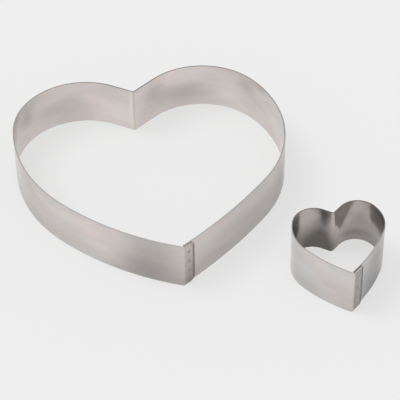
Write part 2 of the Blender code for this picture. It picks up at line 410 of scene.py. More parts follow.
def half_plan(tip, half):
    """The run of a right half from the cleft to its side, and the side's centre, radius and two headings."""
    flank_heading = math.radians(half.flank_angle)
    lobe_end = flank_heading - math.radians(half.lobe_bend)
    shoulder_end = lobe_end - math.radians(half.shoulder_bend)
    lobe_centre = (half.flank - 1j * half.lobe_radius) * along(flank_heading)
    shoulder_centre = lobe_centre + (half.lobe_radius - half.shoulder_radius) * 1j * along(lobe_end)
    run = straight(0j, half.flank * along(flank_heading))
    run += arc(lobe_centre, half.lobe_radius, flank_heading, lobe_end)[1:]
    run += arc(shoulder_centre, half.shoulder_radius, lobe_end, shoulder_end)[1:]
    to_tip = tip - run[-1]
    half_bend = -cmath.phase(to_tip / along(shoulder_end))
    radius = abs(to_tip) / (2.0 * math.sin(half_bend))
    centre = run[-1] - radius * 1j * along(shoulder_end)
    return run, (centre, radius, shoulder_end, shoulder_end - 2.0 * half_bend)


def folded(before, after, radius):
    """Two runs that meet at a corner, with a bend of this radius in place of the corner."""
    corner = after[0]
    inward = (corner - before[-2]) / abs(corner - before[-2])
    outward = (after[1] - corner) / abs(after[1] - corner)
    turn = cmath.phase(outward / inward)
    reach = radius * math.tan(abs(turn) / 2.0)
    start = corner - inward * reach
    spoke = -1j * math.copysign(1.0, turn) * inward * radius
    count = math.ceil(abs(turn) / FOLD_STEP)
    bend = [start - spoke + spoke * along(turn * i / count) for i in range(count + 1)]
    clear = reach + FOLD_CLEAR
    kept_before = [point for point in before if abs(point - corner) > clear]
    kept_after = [point for point in after if abs(point - corner) > clear]
    return kept_before + bend + kept_after


def lap_stations(ring):
    """Distances in from the lap's free edge, closer together round its corners."""
    corner = max(ring.top_corner, ring.bottom_corner)
    count = math.ceil((ring.lap - corner) / LAP_PATH_STEP)
    plain = [ring.lap + (corner - ring.lap) * i / count for i in range(count)]
    turns = [math.pi / 2.0 * i / CORNER_STEPS for i in range(CORNER_STEPS + 1)]
    return plain + [corner * (1.0 - math.sin(turn)) for turn in turns]


def strip_path(ring):
    """The middle of the sheet in the ring's own plan, with its cleft at the origin and its tip at -Y."""
    run, (centre, radius, start, end) = half_plan(complex(0.0, -ring.cleft_to_tip), ring.right)
    last = end + TAIL_GAP / radius
    fine = last + ring.lap / radius
    right = run + arc(centre, radius, start, fine)[1:]
    right += arc(centre, radius, fine, last, LAP_PATH_STEP)[1:]
    lap_radius = radius + SHEET + LAP_GAP
    fold_heading = -math.pi - math.asin(centre.real / lap_radius)
    tip = centre + lap_radius * 1j * along(fold_heading)
    headings = [fold_heading + (ring.lap - station) / lap_radius for station in lap_stations(ring)]
    lap = [centre + lap_radius * 1j * along(heading) for heading in headings]
    run, side = half_plan(tip, ring.left)
    left = [-point.conjugate() for point in run + arc(*side)[1:]]
    strip = folded(right[::-1], left, ring.cleft_fold)
    return folded(strip, lap, ring.tip_fold)


def placed_path(ring):
    """The path as it stands in the set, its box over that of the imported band, and the place of the cleft."""
    turned = [point * along(math.radians(ring.turn)) for point in strip_path(ring)]
    low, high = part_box(f"{ring.name}_band")
    across = [point.real for point in turned]
    deep = [point.imag for point in turned]
    middle = complex(min(across) + max(across), min(deep) + max(deep)) / 2.0
    place = complex(low.x + high.x, low.y + high.y) / 2.0 - middle
    return [point + place for point in turned], place


for ring in (LARGE, SMALL):
    points, cleft = placed_path(ring)
    length = sum(abs(b - a) for a, b in zip(points, points[1:]))
    print(ring.name, "strip, mm:", round(1000.0 * length, 1), "in", len(points), "points")

# %% [markdown]
# ## Guides for the strip
# Geometry Nodes will sweep the strip, so the path goes into Blender as a curve object. The welds stay
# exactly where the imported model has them: their centres, and the way each one points through the two sheets,
# become a small mesh of loose points. Both guides are removed at the end, once the pieces are plain meshes.

# %% Guides


def path_guide(ring, points):
    data = bpy.data.curves.new(f"{ring.name}_path", "CURVE")
    data.dimensions = "3D"
    spline = data.splines.new("POLY")
    spline.points.add(len(points) - 1)
    for knot, point in zip(spline.points, points):
        knot.co = (point.real, point.imag, 0.0, 1.0)
    return put_in_scene(data.name, data)


def outward_at(points, spot):
    """The way that the outside of the strip faces, at the point of the path nearest to this spot."""
    nearest = min(range(len(points) - 1), key=lambda i: abs(points[i] - spot))
    step = points[nearest + 1] - points[nearest]
    out = -1j * step / abs(step)
    return Vector((out.real, out.imag, 0.0))


def weld_nodes(ring):
    """Names of the ring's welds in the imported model, from the bottom up."""
    return [node for node in sorted(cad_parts) if node.startswith(f"{ring.name}_spot_weld")]


def weld_guide(ring, points):
    centres = []
    for node in weld_nodes(ring):
        low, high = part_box(node)
        centres.append((low + high) / 2.0)
    mesh = bpy.data.meshes.new(f"{ring.name}_weld_points")
    mesh.from_pydata(centres, [], [])
    axes = mesh.attributes.new("axis", "FLOAT_VECTOR", "POINT")
    for i, centre in enumerate(centres):
        axes.data[i].vector = outward_at(points, complex(centre.x, centre.y))
    return put_in_scene(mesh.name, mesh)


for ring in (LARGE, SMALL):
    print(ring.name, "ring's welds:", ", ".join(weld_nodes(ring)))

# %% [markdown]
# ## Inputs of a Geometry Nodes tree
# Each tree here gets its sizes through named inputs, so the same tree makes both rings. A modifier stores
# its inputs under identifiers such as Socket_3, so a name has to be looked up first, before the object is
# evaluated.

# %% Trees and their inputs


def new_tree(name, **inputs):
    """A geometry node tree with these inputs, each given as a kind of socket."""
    tree = bpy.data.node_groups.new(name, "GeometryNodeTree")
    tree.interface.new_socket("Geometry", in_out="OUTPUT", socket_type="NodeSocketGeometry")
    for label, kind in inputs.items():
        tree.interface.new_socket(label, in_out="INPUT", socket_type=f"NodeSocket{kind}")
    return tree


def made_by(tree, name, **values):
    """The plain mesh object that this tree makes with these inputs."""
    host = put_in_scene(name, bpy.data.meshes.new(f"{name}_host"))
    modifier = host.modifiers.new(tree.name, "NODES")
    modifier.node_group = tree
    for item in tree.interface.items_tree:
        if item.in_out == "INPUT":
            modifier[item.identifier] = values[item.name]
    return plain(host)


def plain(host):
    """The object with its modifiers turned into a plain mesh."""
    graph = bpy.context.evaluated_depsgraph_get()
    made = host.evaluated_get(graph)
    mesh = bpy.data.meshes.new_from_object(made, preserve_all_data_layers=True, depsgraph=graph)
    mesh.name = host.name
    host.modifiers.clear()
    old = host.data
    host.data = mesh
    bpy.data.meshes.remove(old)
    return host


# %% [markdown]
# ## Sweeping the strip
# The strip has one height almost everywhere, so a vertical line swept along the path gives its middle
# surface. Before the sweep, each point of the path stores what it knows: its place, the way the outside
# faces, and its distance from either end. Curve to Mesh hands these values on to the surface, and every
# later rule reads them. A grid bent by a modifier would have the same shape, but its points wouldn't know
# where on the strip they are.

# %% Sweep
ROW_STEP = 0.0006
ROWS = round(BAND_HEIGHT / ROW_STEP) + 1


def swept_strip(tree, given):
    """The middle surface before it has any height, and the values that its points carry."""
    length = add_node(tree, "GeometryNodeSplineParameter")["Length"]
    whole = add_node(tree, "GeometryNodeSplineLength")["Length"]
    left = add_node(tree, "ShaderNodeMath", {0: whole, 1: length}, operation="SUBTRACT")[0]
    ends = {0: add_node(tree, "GeometryNodeInputTangent")[0], 1: (0.0, 0.0, 1.0)}
    across = add_node(tree, "ShaderNodeVectorMath", ends, operation="CROSS_PRODUCT")[0]
    out = add_node(tree, "ShaderNodeVectorMath", {0: across}, operation="NORMALIZE")[0]
    place = add_node(tree, "GeometryNodeInputPosition")[0]
    path = add_node(tree, "GeometryNodeObjectInfo", {"Object": given["Path"]})["Geometry"]
    known = {
        "spot": ("FLOAT_VECTOR", place),
        "outward": ("FLOAT_VECTOR", out),
        "along": ("FLOAT", length),
        "from_free_edge": ("FLOAT", left),
    }
    for name, (kind, value) in known.items():
        path = add_node(
            tree,
            "GeometryNodeStoreNamedAttribute",
            {"Geometry": path, "Name": name, "Value": value},
            data_type=kind,
            domain="POINT",
        )[0]
    line = add_node(tree, "GeometryNodeCurvePrimitiveLine", {"End": (0.0, 1.0, 0.0)})[0]
    rows = add_node(tree, "GeometryNodeResampleCurve", {"Curve": line, "Count": given["Rows"]})[0]
    share = add_node(tree, "GeometryNodeSplineParameter")["Factor"]
    rows = add_node(
        tree,
        "GeometryNodeStoreNamedAttribute",
        {"Geometry": rows, "Name": "share", "Value": share},
        data_type="FLOAT",
        domain="POINT",
    )[0]
    sheet = add_node(tree, "GeometryNodeCurveToMesh", {"Curve": path, "Profile Curve": rows})[0]
    kinds = {name: kind for name, (kind, value) in known.items()}
    read = {}
    for name, kind in {**kinds, "share": "FLOAT"}.items():
        reader = add_node(tree, "GeometryNodeInputNamedAttribute", {"Name": name}, data_type=kind)
        read[name] = reader["Attribute"]
    return sheet, read


print("Rows of points up the strip:", ROWS)

# %% [markdown]
# ## Heights and hand bending
# Each point stands at its share of the way from the lower edge to the upper one. Near the free edge of the
# lap, both edges follow a rounded corner, and the upper one slopes down to a slightly lower cut. A slow
# wave, at most six hundredths of a millimetre deep, stands for bending by hand. It is too shallow to see as
# a shape, but it shows in reflections, which run unnaturally straight round a perfect curve.

# %% Heights and the wave
WAVE_DEPTH = 0.00006
WAVE_LENGTH = 0.028
WAVE_STARTS = 0.014  # from either end, which leaves the lap and the end under it free of the wave
WAVE_FULL = 0.028  # from either end


def rounded_corner(tree, from_edge, radius):
    """How far a corner of this radius has left its straight edge, this far in from the free edge."""
    near = add_node(tree, "ShaderNodeMath", {0: from_edge, 1: radius}, operation="MINIMUM")[0]
    short = add_node(tree, "ShaderNodeMath", {0: radius, 1: near}, operation="SUBTRACT")[0]
    short_squared = add_node(tree, "ShaderNodeMath", {0: short, 1: short}, operation="MULTIPLY")[0]
    squared = add_node(tree, "ShaderNodeMath", {0: radius, 1: radius}, operation="MULTIPLY")[0]
    rest = add_node(tree, "ShaderNodeMath", {0: squared, 1: short_squared}, operation="SUBTRACT")[0]
    reach = add_node(tree, "ShaderNodeMath", {0: rest}, operation="SQRT")[0]
    return add_node(tree, "ShaderNodeMath", {0: radius, 1: reach}, operation="SUBTRACT")[0]


def point_heights(tree, given, read):
    """The height of each point, between the lower edge and the upper one."""
    from_edge = read["from_free_edge"]
    low = rounded_corner(tree, from_edge, given["Bottom_corner"])
    corner = rounded_corner(tree, from_edge, given["Top_corner"])
    slope = {"From Min": given["Lap"], "From Max": given["Lap_flat"], "To Max": given["Lap_drop"]}
    drop = add_node(tree, "ShaderNodeMapRange", {"Value": from_edge, **slope})[0]
    cut = add_node(tree, "ShaderNodeMath", {0: corner, 1: drop}, operation="ADD")[0]
    high = add_node(tree, "ShaderNodeMath", {0: given["Height"], 1: cut}, operation="SUBTRACT")[0]
    ends = {"Value": read["share"], "To Min": low, "To Max": high}
    return add_node(tree, "ShaderNodeMapRange", ends)[0]


def waved_plan(tree, given, read):
    """Where each point stands on the plan, once the wave has moved it in or out."""
    crests = add_node(tree, "ShaderNodeMath", {0: read["along"], 1: WAVE_LENGTH}, operation="DIVIDE")[0]
    crests = add_node(tree, "ShaderNodeMath", {0: crests, 1: given["Wave_seed"]}, operation="ADD")[0]
    settings = {"W": crests, "Scale": 1.0, "Detail": 1.0}
    noise = add_node(tree, "ShaderNodeTexNoise", settings, noise_dimensions="1D")[0]
    ends = {"Value": noise, "To Min": -WAVE_DEPTH, "To Max": WAVE_DEPTH}
    wave = add_node(tree, "ShaderNodeMapRange", ends)[0]
    for distance in (read["along"], read["from_free_edge"]):
        fade = add_node(
            tree,
            "ShaderNodeMapRange",
            {"Value": distance, "From Min": WAVE_STARTS, "From Max": WAVE_FULL},
            interpolation_type="SMOOTHSTEP",
        )[0]
        wave = add_node(tree, "ShaderNodeMath", {0: wave, 1: fade}, operation="MULTIPLY")[0]
    moved = {0: read["outward"], 1: wave, 2: read["spot"]}
    return add_node(tree, "ShaderNodeVectorMath", moved, operation="MULTIPLY_ADD")[0]


print(f"Wave: at most {1000.0 * WAVE_DEPTH:.2f} mm deep, a crest every {1000.0 * WAVE_LENGTH:.0f} mm or so")

# %% [markdown]
# ## Where the electrodes pressed
# Spot welding squeezes both sheets of the lap between two copper tips, which leave a shallow round dent on
# either side. The way from the nearest weld to a point is split in two: through the sheets, which tells the
# side that the point is on, and beside the weld, which tells how deep it is pressed. The same distance gives
# the heat it took.

# %% Dents
WELD_DENT = 0.00015  # how deep the electrodes press each sheet
DENT_RIM = 0.0009  # width of the smooth rise round the dent
DENT_REACH = 0.005  # only this close to a weld is anything pressed


def weld_dents(tree, given, read):
    """How the nearest weld has moved each point, and how far away it is."""
    outward, radius = read["outward"], given["Weld_radius"]
    welds = add_node(tree, "GeometryNodeObjectInfo", {"Object": given["Welds"]})["Geometry"]
    nearest = add_node(tree, "GeometryNodeProximity", {0: welds}, target_element="POINTS")
    ends = {0: add_node(tree, "GeometryNodeInputPosition")[0], 1: nearest["Position"]}
    away = add_node(tree, "ShaderNodeVectorMath", ends, operation="SUBTRACT")[0]
    pair = {0: away, 1: outward}
    depth = add_node(tree, "ShaderNodeVectorMath", pair, operation="DOT_PRODUCT")["Value"]
    sunk = add_node(tree, "ShaderNodeVectorMath", {0: outward, "Scale": depth}, operation="SCALE")[0]
    pair = {0: away, 1: sunk}
    beside = add_node(tree, "ShaderNodeVectorMath", pair, operation="DISTANCE")["Value"]
    rim = add_node(tree, "ShaderNodeMath", {0: radius, 1: DENT_RIM}, operation="ADD")[0]
    rise = {"From Min": radius, "From Max": rim, "To Min": given["Weld_dent"], "To Max": 0.0}
    press = add_node(
        tree,
        "ShaderNodeMapRange",
        {"Value": beside, **rise},
        interpolation_type="SMOOTHSTEP",
    )[0]
    pair = {0: nearest["Distance"], 1: DENT_REACH}
    here = add_node(tree, "ShaderNodeMath", pair, operation="LESS_THAN")[0]
    side = add_node(tree, "ShaderNodeMath", {0: depth}, operation="SIGN")[0]
    for factor in (here, side, -1.0):  # away from the electrode, so towards the other sheet
        press = add_node(tree, "ShaderNodeMath", {0: press, 1: factor}, operation="MULTIPLY")[0]
    push = add_node(tree, "ShaderNodeVectorMath", {0: outward, "Scale": press}, operation="SCALE")[0]
    return push, nearest["Distance"]


print(f"Dents: {1000.0 * WELD_DENT:.2f} mm deep, with a rise {1000.0 * DENT_RIM:.1f} mm wide round them")

# %% [markdown]
# ## Marks for the materials
# Steel is stained where it was heated, and some marks are painted light and shade. A material can only draw
# this where it finds it, so the tree stores four marks on the points: heat round the welds, a painted
# highlight along the crease at the cleft, the face of the lap, darker from a stain and from painted shade,
# and painted shade of the gap, with some dirt, along the seam at its free edge. Each is full at one distance
# and gone at another.

# %% Marks
HEAT_REACH = 0.009  # from a weld's middle to where the steel kept its colour
CREASE_REACH = 0.004  # from the corner of the cleft to where the painted highlight along the crease ends
SEAM_WIDTH = 0.0034  # along the free edge: painted shade of the gap between the sheets, with dirt and polish


def marked(tree, given, read, sheet, from_weld):
    """The sheet with each mark stored on its points."""
    pair = {0: read["spot"], 1: given["Cleft"]}
    from_cleft = add_node(tree, "ShaderNodeVectorMath", pair, operation="DISTANCE")["Value"]
    from_edge = read["from_free_edge"]
    marks = {
        "heat": (from_weld, 0.0, HEAT_REACH, 1.0),
        "crease": (from_cleft, 0.0, CREASE_REACH, 1.0),
        "seam": (from_edge, 0.0, SEAM_WIDTH, 1.0),
        "lap": (from_edge, given["Lap_flat"], given["Lap"], given["Lap_stain"]),
    }
    for name, (distance, full, gone, most) in marks.items():
        mark = add_node(
            tree,
            "ShaderNodeMapRange",
            {"Value": distance, "From Min": full, "From Max": gone, "To Min": most, "To Max": 0.0},
            interpolation_type="SMOOTHSTEP",
        )[0]
        sheet = add_node(
            tree,
            "GeometryNodeStoreNamedAttribute",
            {"Geometry": sheet, "Name": name, "Value": mark},
            data_type="FLOAT",
            domain="POINT",
        )[0]
    return sheet


print(f"Marks: {1000.0 * HEAT_REACH:.0f} mm round a weld, {1000.0 * SEAM_WIDTH:.1f} mm wide at the seam")

# %% [markdown]
# ## The whole tree of the strip
# The steps above come together here. The tree also lays the strip out flat, as a map in metres that the
# patterns of the materials follow, and turns the faces round, because a line swept this way faces inwards.

# %% Tree of the bent strip
STRIP_SIZES = (
    "Height",
    "Lap",
    "Lap_flat",
    "Lap_drop",
    "Top_corner",
    "Bottom_corner",
    "Weld_radius",
    "Weld_dent",
    "Wave_seed",
    "Lap_stain",
)


def strip_tree():
    sizes = dict.fromkeys(STRIP_SIZES, "Float")
    things = {"Path": "Object", "Welds": "Object", "Cleft": "Vector", "Rows": "Int", "Steel": "Material"}
    tree = new_tree("bent_strip", **sizes, **things)
    given = add_node(tree, "NodeGroupInput")
    sheet, read = swept_strip(tree, given)
    height = point_heights(tree, given, read)
    rise = add_node(tree, "ShaderNodeCombineXYZ", {"Z": height})[0]
    plan = waved_plan(tree, given, read)
    standing = add_node(tree, "ShaderNodeVectorMath", {0: plan, 1: rise}, operation="ADD")[0]
    sheet = add_node(tree, "GeometryNodeSetPosition", {"Geometry": sheet, "Position": standing})[0]
    push, from_weld = weld_dents(tree, given, read)
    sheet = marked(tree, given, read, sheet, from_weld)
    sheet = add_node(tree, "GeometryNodeSetPosition", {"Geometry": sheet, "Offset": push})[0]
    laid_flat = add_node(tree, "ShaderNodeCombineXYZ", {"X": read["along"], "Y": height})[0]
    sheet = add_node(
        tree,
        "GeometryNodeStoreNamedAttribute",
        {"Geometry": sheet, "Name": "strip", "Value": laid_flat},
        data_type="FLOAT2",
        domain="CORNER",
    )[0]
    for name in ("spot", "outward", "share", "from_free_edge"):
        sheet = add_node(tree, "GeometryNodeRemoveAttribute", {"Geometry": sheet, "Name": name})[0]
    sheet = add_node(tree, "GeometryNodeFlipFaces", {"Mesh": sheet})[0]
    sheet = add_node(tree, "GeometryNodeSetShadeSmooth", {"Geometry": sheet})[0]
    sheet = add_node(tree, "GeometryNodeRealizeInstances", {"Geometry": sheet})[0]
    dressed = {"Geometry": sheet, "Material": given["Steel"]}
    sheet = add_node(tree, "GeometryNodeSetMaterial", dressed)[0]
    add_node(tree, "NodeGroupOutput", {"Geometry": sheet})
    return tree


STRIP_TREE = strip_tree()
print("Tree of the strip:", len(STRIP_TREE.nodes), "nodes")

# %% [markdown]
# ## Spot welds
# The current melts a small button between the two squeezed sheets. What shows afterwards, outside and
# inside, is a round dull face at the bottom of each dent. One short bar stands for the button, with slightly
# hollow ends. It is placed on every weld point and turned to face through the sheets, which is the kind of
# repeating that Instance on Points does well: the bar is built once, and a fourth weld would only need a
# fourth point.

# %% Tree of the spot welds
WELD_SIDES = 32
WELD_RINGS = 5
WELD_HOLLOW = 0.00002  # from the rim of a face down to its middle
WELD_PROUD = 0.00003  # above the bottom of the dent, so that the two surfaces don't share a plane


def weld_bar(tree, given):
    """One button with hollow ends. Its points know how far out they are, from 0 to 1 at the rim."""
    size = {"Radius": given["Radius"], "Depth": given["Length"]}
    rings = {"Vertices": WELD_SIDES, "Fill Segments": WELD_RINGS}
    bar = add_node(tree, "GeometryNodeMeshCylinder", {**rings, **size}, fill_type="TRIANGLE_FAN")["Mesh"]
    place = add_node(tree, "GeometryNodeInputPosition")[0]
    parts = add_node(tree, "ShaderNodeSeparateXYZ", {0: place})
    flat = add_node(tree, "ShaderNodeCombineXYZ", {"X": parts["X"], "Y": parts["Y"]})[0]
    out = add_node(tree, "ShaderNodeVectorMath", {0: flat}, operation="LENGTH")["Value"]
    share = add_node(tree, "ShaderNodeMath", {0: out, 1: given["Radius"]}, operation="DIVIDE")[0]
    bar = add_node(
        tree,
        "GeometryNodeStoreNamedAttribute",
        {"Geometry": bar, "Name": "rim", "Value": share},
        data_type="FLOAT",
        domain="POINT",
    )[0]
    squared = add_node(tree, "ShaderNodeMath", {0: share, 1: share}, operation="MULTIPLY")[0]
    ends = {"Value": squared, "To Min": given["Hollow"], "To Max": 0.0}
    sink = add_node(tree, "ShaderNodeMapRange", ends)[0]
    end = add_node(tree, "ShaderNodeMath", {0: parts["Z"]}, operation="SIGN")[0]
    for factor in (end, -1.0):
        sink = add_node(tree, "ShaderNodeMath", {0: sink, 1: factor}, operation="MULTIPLY")[0]
    offset = add_node(tree, "ShaderNodeCombineXYZ", {"Z": sink})[0]
    return add_node(tree, "GeometryNodeSetPosition", {"Geometry": bar, "Offset": offset})[0]


def weld_tree():
    sizes = dict.fromkeys(("Radius", "Length", "Hollow"), "Float")
    tree = new_tree("spot_welds", **sizes, Welds="Object", Steel="Material")
    given = add_node(tree, "NodeGroupInput")
    bar = weld_bar(tree, given)
    points = add_node(tree, "GeometryNodeObjectInfo", {"Object": given["Welds"]})["Geometry"]
    reader = add_node(tree, "GeometryNodeInputNamedAttribute", {"Name": "axis"}, data_type="FLOAT_VECTOR")
    facing = {"Vector": reader["Attribute"]}
    turn = add_node(tree, "FunctionNodeAlignRotationToVector", facing, axis="Z")[0]
    placing = {"Points": points, "Instance": bar, "Rotation": turn}
    shape = add_node(tree, "GeometryNodeInstanceOnPoints", placing)[0]
    shape = add_node(tree, "GeometryNodeRealizeInstances", {"Geometry": shape})[0]
    dressed = {"Geometry": shape, "Material": given["Steel"]}
    shape = add_node(tree, "GeometryNodeSetMaterial", dressed)[0]
    add_node(tree, "NodeGroupOutput", {"Geometry": shape})
    return tree


WELD_TREE = weld_tree()
print("Tree of the welds:", len(WELD_TREE.nodes), "nodes")

# %% [markdown]
# ## Patterns on the strip
# Rolling leaves a faint grain along the sheet, pickling leaves it slightly cloudy, and use adds smudges and
# scratches. Each of these is noise on the strip's own map, in metres, stretched to the size of the real
# thing, so the grain runs round the heart with the steel. An image of steel would repeat on a strip this
# long, which noise never does. Every pattern is described by its size and by the values that its lows and
# highs are turned into.

# %% Patterns


class Pattern(NamedTuple):
    """Noise by its size along the strip and up it, its detail, its lows and highs, and what they become."""

    length: float
    height: float
    detail: float
    low: float
    high: float
    least: float = 0.0
    most: float = 1.0


TINTS = Pattern(0.035, 0.035, 1.0, 0.30, 0.70)  # steel changes slowly from one clean tint to the other
GRAIN = Pattern(0.014, 0.0004, 3.0, 0.30, 0.70, most=0.08)  # real grain is finer, and wouldn't show
CLOUDS = Pattern(0.040, 0.014, 2.0, 0.35, 0.65, most=0.16)  # long faint shades left by pickling
SMUDGES = Pattern(0.016, 0.0096, 2.0, 0.30, 0.70, 0.14, 0.19)  # fingers' breadth, turned into roughness
MOTTLE = Pattern(0.002, 0.007, 2.0, 0.35, 0.65, least=0.65)  # the lap's stain and painted shade, in short upright streaks
WORN = Pattern(0.018, 0.018, 1.0, 0.42, 0.62, most=-1.5)  # where scratches gather, and how deep they are
SCRATCH = Pattern(0.011, 0.0003, 0.0, 0.74, 0.79)  # wider than real ones; only the highest crests count
SCRATCH_TURNS = (14.0, -38.0, 71.0)  # from the grain, in degrees
SHEAR_MARKS = Pattern(0.0004, 1.0, 2.0, 0.30, 0.70)  # real ones are half as wide, and wouldn't show


def strip_pattern(tree, pattern, turn=0.0):
    """The noise of a pattern, some degrees off the grain: as it is, and turned into its values."""
    place = add_node(tree, "ShaderNodeUVMap", uv_map="strip")[0]
    turning = {"Vector": place, "Rotation": (0.0, 0.0, math.radians(turn))}
    turned = add_node(tree, "ShaderNodeMapping", turning)[0]
    scale = (1.0 / pattern.length, 1.0 / pattern.height, 1.0)
    scaled = add_node(tree, "ShaderNodeMapping", {"Vector": turned, "Scale": scale})[0]
    settings = {"Vector": scaled, "Scale": 1.0, "Detail": pattern.detail}
    noise = add_node(tree, "ShaderNodeTexNoise", settings, noise_dimensions="2D")[0]
    lows = {"From Min": pattern.low, "To Min": pattern.least}
    highs = {"From Max": pattern.high, "To Max": pattern.most}
    return noise, add_node(tree, "ShaderNodeMapRange", {"Value": noise, **lows, **highs})[0]


print("Strokes of the grain, mm:", 1000.0 * GRAIN.length, "by", 1000.0 * GRAIN.height)

# %% [markdown]
# ## Bare metal
# All the steel here is bare, so every material is the same shader: fully metallic, with the colour as its
# mirror's tint, some roughness, and a relief of a few hundredths of a millimetre from a Bump node. One
# function starts a material, and one ends it with that shader. In between, Mix nodes blend in one colour
# after another. A Mix node has sockets for every kind of value, so those for colours go by their numbers.

# %% Helpers for metal
COLOUR_A, COLOUR_B = 6, 7  # the inputs of a Mix node that take its two colours
MIXED = 2  # the output that gives their mix


def new_material(name):
    """A material with an empty tree, and the tree."""
    material = bpy.data.materials.new(name)
    material.use_nodes = True
    material.node_tree.nodes.clear()
    return material, material.node_tree


def add_metal(tree, colour, roughness, height, strength, depth):
    """The shader of bare metal, with the relief that this height and depth give, joined to the output."""
    relief = {"Height": height, "Strength": strength, "Distance": depth}
    normal = add_node(tree, "ShaderNodeBump", relief)[0]
    look = {"Metallic": 1.0, "Base Color": colour, "Roughness": roughness, "Normal": normal}
    shader = add_node(tree, "ShaderNodeBsdfPrincipled", look)[0]
    add_node(tree, "ShaderNodeOutputMaterial", {"Surface": shader})


# %% [markdown]
# ## Satin cold-rolled steel
# The sheet is austenitic stainless steel with the mill's ordinary finish, called 2B: cold-rolled, annealed,
# pickled and passed once more between polished rolls. It mirrors what stands close to it, but softly. Over
# that clean steel, each mark of the strip blends its own colour in and makes the surface a little rougher:
# film and dull patches, which are partly painted shade and light, the lap, darker from a stain and from
# painted shade, heat round the welds, painted shade of the gap and some dirt along the seam, and a painted
# highlight, paler and slightly yellow, along the crease at the cleft. Scratches go into the relief, in the
# areas where the strip was worn.

# %% Material of the sheet
SHADED_STEEL = "#A8A29E"  # between the lines of the grain, and in the clouds
# Heat stain round the welds; on the lap, the same colour is stain and painted shade together
STAINED_STEEL = "#7F746E"
GRAIN_DEPTH = 0.00003
GRAIN_STRENGTH = 0.35


def satin_steel(ring, side, finish):
    """Cold-rolled steel on one face of a ring: a soft mirror with a faint grain, with painted shade and light
    in patches.
    """
    material, tree = new_material(f"satin_cold_rolled_stainless_steel_{ring}_{side}")
    first, second = (linear(tint) for tint in finish.tints)
    colours = {0: strip_pattern(tree, TINTS)[1], COLOUR_A: first, COLOUR_B: second}
    colour = add_node(tree, "ShaderNodeMix", colours, data_type="RGBA")[MIXED]
    grain, lines = strip_pattern(tree, GRAIN)
    for share in (lines, strip_pattern(tree, CLOUDS)[1]):
        colours = {0: share, COLOUR_A: colour, COLOUR_B: linear(SHADED_STEEL)}
        colour = add_node(tree, "ShaderNodeMix", colours, data_type="RGBA")[MIXED]
    roughness = strip_pattern(tree, SMUDGES)[1]
    worn = strip_pattern(tree, WORN)[1]
    height = grain
    for turn in SCRATCH_TURNS:
        deeper = {0: strip_pattern(tree, SCRATCH, turn)[1], 1: worn, 2: height}
        height = add_node(tree, "ShaderNodeMath", deeper, operation="MULTIPLY_ADD")[0]

    # For each mark: the colour that it blends in, the most of that colour, and the roughness that it adds
    stains = {
        # A painted highlight: paler, slightly yellow steel along the crease at the cleft
        "crease": ("#EDE2D8", 0.60, 0.00),
        # Film and patches of the finish: partly real film, partly painted shade and light
        f"dull_{side}": (finish.dull_tint, 1.00, 0.06),
        # The lap is darker: partly a weld stain, partly painted shade
        "lap": (STAINED_STEEL, strip_pattern(tree, MOTTLE)[1], 0.05),
        "heat": (STAINED_STEEL, 0.30, 0.10),
        # painted shade of the gap along the free edge, with dirt and polish
        "seam": ("#3F3936", 0.70, 0.15),
    }
    for name, (stain, most, rougher) in stains.items():
        mark = add_node(tree, "ShaderNodeAttribute", attribute_name=name)["Fac"]
        share = add_node(tree, "ShaderNodeMath", {0: mark, 1: most}, operation="MULTIPLY")[0]
        colours = {0: share, COLOUR_A: colour, COLOUR_B: linear(stain)}
        colour = add_node(tree, "ShaderNodeMix", colours, data_type="RGBA")[MIXED]
        sum_of = {0: mark, 1: rougher, 2: roughness}
        roughness = add_node(tree, "ShaderNodeMath", sum_of, operation="MULTIPLY_ADD")[0]
    add_metal(tree, colour, roughness, height, GRAIN_STRENGTH, GRAIN_DEPTH)
    return material


SATIN_STEEL = {
    (ring.name, side): satin_steel(ring.name, side, finish)
    for ring in (LARGE, SMALL)
    for side, finish in (("outside", ring.outside), ("inside", ring.inside))
}
for steel in SATIN_STEEL.values():
    print(steel.name, "has", len(steel.node_tree.nodes), "nodes")

# %% [markdown]
# ## Sheared edges
# The strip was cut by shears. They leave its long edges in bright and dull strokes that cross the thickness.
# These edges are painted darker on the far side of each ring and lighter on the laps, as painted shade and a
# painted highlight, through a grey film of uneven thickness. The two tints are those of freshly cut steel,
# and the stored dullness and shade blends the film in, unevenly, as the strokes hold it.

# %% Material of the edges
CLEAN_STROKES = -0.3  # the brightest strokes hold this much less of the film and its painted shade
EDGE_ROUGHNESS = (0.38, 0.55)
EDGE_DEPTH = 0.00003
EDGE_STRENGTH = 0.5


def sheared_steel(ring, finish):
    """Steel cut by shears: a rim too rough to mirror anything, scored across its thickness."""
    material, tree = new_material(f"sheared_steel_edge_{ring}")
    marks, tone = strip_pattern(tree, SHEAR_MARKS)
    first, second = (linear(tint) for tint in finish.tints)
    colours = {0: tone, COLOUR_A: first, COLOUR_B: second}
    colour = add_node(tree, "ShaderNodeMix", colours, data_type="RGBA")[MIXED]
    # The film is painted shade on the far edges, and thinner, painted light, on the laps' edges
    film = add_node(tree, "ShaderNodeAttribute", attribute_name="dull_rim")["Fac"]
    held = {0: tone, 1: CLEAN_STROKES, 2: 1.0}
    held = add_node(tree, "ShaderNodeMath", held, operation="MULTIPLY_ADD")[0]
    film = add_node(tree, "ShaderNodeMath", {0: film, 1: held}, operation="MULTIPLY")[0]
    colours = {0: film, COLOUR_A: colour, COLOUR_B: linear(finish.dull_tint)}
    colour = add_node(tree, "ShaderNodeMix", colours, data_type="RGBA")[MIXED]
    ends = dict(zip(("To Min", "To Max"), EDGE_ROUGHNESS))
    roughness = add_node(tree, "ShaderNodeMapRange", {"Value": marks, **ends})[0]
    add_metal(tree, colour, roughness, marks, EDGE_STRENGTH, EDGE_DEPTH)
    return material


SHEARED_STEEL = {ring.name: sheared_steel(ring.name, ring.rim) for ring in (LARGE, SMALL)}
print("Edges:", *(steel.name for steel in SHEARED_STEEL.values()))

